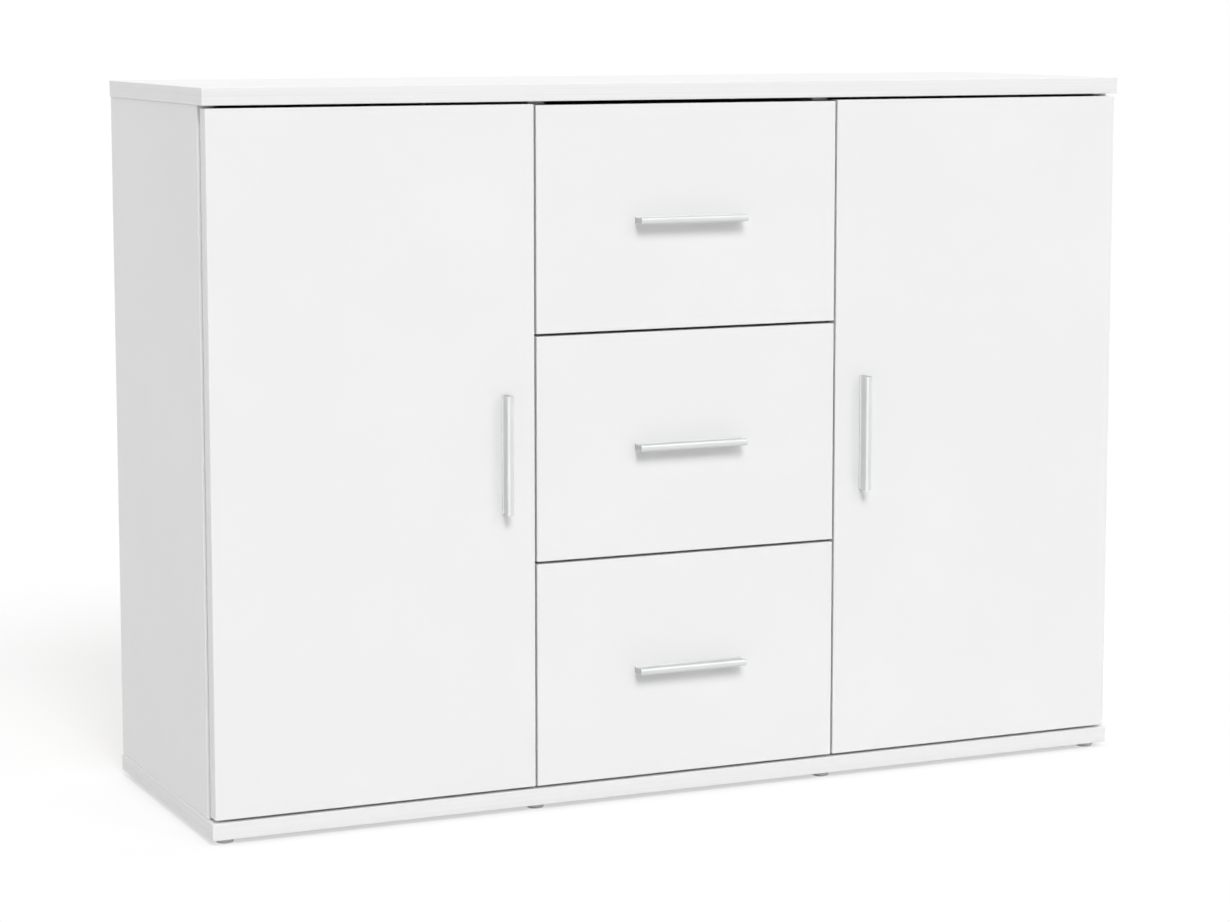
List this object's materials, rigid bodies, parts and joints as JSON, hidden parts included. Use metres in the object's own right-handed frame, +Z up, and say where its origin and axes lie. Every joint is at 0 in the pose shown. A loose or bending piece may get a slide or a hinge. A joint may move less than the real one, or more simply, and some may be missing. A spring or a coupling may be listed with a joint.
{
  "type": "sideboard",
  "caption": "White flat-pack sideboard with hinged doors either side of a stack of drawers, slim silver pulls, concealed hinges, roller runners and small glides.",
  "frame": {"origin": "centre of the footprint, on the floor under the glides", "axes": "+X to the right along the width, +Y from the fronts to the back, +Z up"},
  "size_m": [0.904, 0.3, 0.65],
  "materials": {
    "white_board": "white melamine-faced chipboard, satin",
    "white_hardboard": "white lacquered hardboard, matt",
    "satin_aluminium": "satin silver anodised",
    "nickel_steel": "nickel-plated pressed steel",
    "zinc_fitting": "bright zinc plated",
    "white_steel": "white powder coat",
    "white_nylon": "moulded nylon",
    "grey_glide": "moulded grey plastic",
    "beech_dowel": "fluted beech, unfinished"
  },
  "bodies": {
    "carcass": {"top_panel": "white_board", "bottom_panel": "white_board", "left_side_panel": "white_board", "right_side_panel": "white_board", "left_divider": "white_board", "right_divider": "white_board", "back_board": "white_hardboard", "left_shelf": "white_board", "right_shelf": "white_board", "shelf_pins": "nickel_steel", "feet": "grey_glide", "cam_discs": "zinc_fitting", "cam_bolts": "zinc_fitting", "wooden_dowels": "beech_dowel", "confirmat_screws": "zinc_fitting", "chipboard_screws": "zinc_fitting", "hinge_arms": "nickel_steel", "hinge_plates": "nickel_steel", "bottom_cabinet_rails": "white_steel", "middle_cabinet_rails": "white_steel", "top_cabinet_rails": "white_steel"},
    "left_door": {"left_door": "white_board", "left_door_handle": "satin_aluminium", "left_door_fasteners": "zinc_fitting", "left_hinge_cups": "nickel_steel"},
    "right_door": {"right_door": "white_board", "right_door_handle": "satin_aluminium", "right_door_fasteners": "zinc_fitting", "right_hinge_cups": "nickel_steel"},
    "bottom_drawer": {"bottom_drawer_front": "white_board", "bottom_drawer_left_side": "white_board", "bottom_drawer_right_side": "white_board", "bottom_drawer_back": "white_board", "bottom_drawer_bottom": "white_hardboard", "bottom_drawer_handle": "satin_aluminium", "bottom_drawer_rails": "white_steel", "bottom_drawer_fasteners": "zinc_fitting"},
    "middle_drawer": {"middle_drawer_front": "white_board", "middle_drawer_left_side": "white_board", "middle_drawer_right_side": "white_board", "middle_drawer_back": "white_board", "middle_drawer_bottom": "white_hardboard", "middle_drawer_handle": "satin_aluminium", "middle_drawer_rails": "white_steel", "middle_drawer_fasteners": "zinc_fitting"},
    "top_drawer": {"top_drawer_front": "white_board", "top_drawer_left_side": "white_board", "top_drawer_right_side": "white_board", "top_drawer_back": "white_board", "top_drawer_bottom": "white_hardboard", "top_drawer_handle": "satin_aluminium", "top_drawer_rails": "white_steel", "top_drawer_fasteners": "zinc_fitting"},
    "bottom_front_rollers": {"bottom_front_rollers": "white_nylon"},
    "bottom_rear_rollers": {"bottom_rear_rollers": "white_nylon"},
    "middle_front_rollers": {"middle_front_rollers": "white_nylon"},
    "middle_rear_rollers": {"middle_rear_rollers": "white_nylon"},
    "top_front_rollers": {"top_front_rollers": "white_nylon"},
    "top_rear_rollers": {"top_rear_rollers": "white_nylon"}
  },
  "joints": [
    {"name": "left_door_swing", "type": "hinge", "parent": "carcass", "child": "left_door", "pos_m": [-0.4423, -0.1305, 0.3275], "axis": [0, 0, -1], "range_deg": [0, 95]},
    {"name": "right_door_swing", "type": "hinge", "parent": "carcass", "child": "right_door", "pos_m": [0.4423, -0.1305, 0.3275], "axis": [0, 0, 1], "range_deg": [0, 95]},
    {"name": "bottom_drawer_slide", "type": "slide", "parent": "carcass", "child": "bottom_drawer", "axis": [0, -1, 0], "range_m": [0, 0.195]},
    {"name": "middle_drawer_slide", "type": "slide", "parent": "carcass", "child": "middle_drawer", "axis": [0, -1, 0], "range_m": [0, 0.195]},
    {"name": "top_drawer_slide", "type": "slide", "parent": "carcass", "child": "top_drawer", "axis": [0, -1, 0], "range_m": [0, 0.195]},
    {"name": "bottom_front_roller_spin", "type": "hinge", "parent": "carcass", "child": "bottom_front_rollers", "pos_m": [0, -0.1043, 0.0422], "axis": [1, 0, 0], "range_deg": [0, 1290]},
    {"name": "bottom_rear_roller_spin", "type": "hinge", "parent": "bottom_drawer", "child": "bottom_rear_rollers", "pos_m": [0, 0.1137, 0.0389], "axis": [1, 0, 0], "range_deg": [0, 1290]},
    {"name": "middle_front_roller_spin", "type": "hinge", "parent": "carcass", "child": "middle_front_rollers", "pos_m": [0, -0.1043, 0.24603], "axis": [1, 0, 0], "range_deg": [0, 1290]},
    {"name": "middle_rear_roller_spin", "type": "hinge", "parent": "middle_drawer", "child": "middle_rear_rollers", "pos_m": [0, 0.1137, 0.24273], "axis": [1, 0, 0], "range_deg": [0, 1290]},
    {"name": "top_front_roller_spin", "type": "hinge", "parent": "carcass", "child": "top_front_rollers", "pos_m": [0, -0.1043, 0.44987], "axis": [1, 0, 0], "range_deg": [0, 1290]},
    {"name": "top_rear_roller_spin", "type": "hinge", "parent": "top_drawer", "child": "top_rear_rollers", "pos_m": [0, 0.1137, 0.44657], "axis": [1, 0, 0], "range_deg": [0, 1290]}
  ],
  "couplings": [
    {"joint": "bottom_front_roller_spin", "follows": "bottom_drawer_slide", "rad_per_m": 114.94},
    {"joint": "bottom_rear_roller_spin", "follows": "bottom_drawer_slide", "rad_per_m": 114.94},
    {"joint": "middle_front_roller_spin", "follows": "middle_drawer_slide", "rad_per_m": 114.94},
    {"joint": "middle_rear_roller_spin", "follows": "middle_drawer_slide", "rad_per_m": 114.94},
    {"joint": "top_front_roller_spin", "follows": "top_drawer_slide", "rad_per_m": 114.94},
    {"joint": "top_rear_roller_spin", "follows": "top_drawer_slide", "rad_per_m": 114.94}
  ]
}
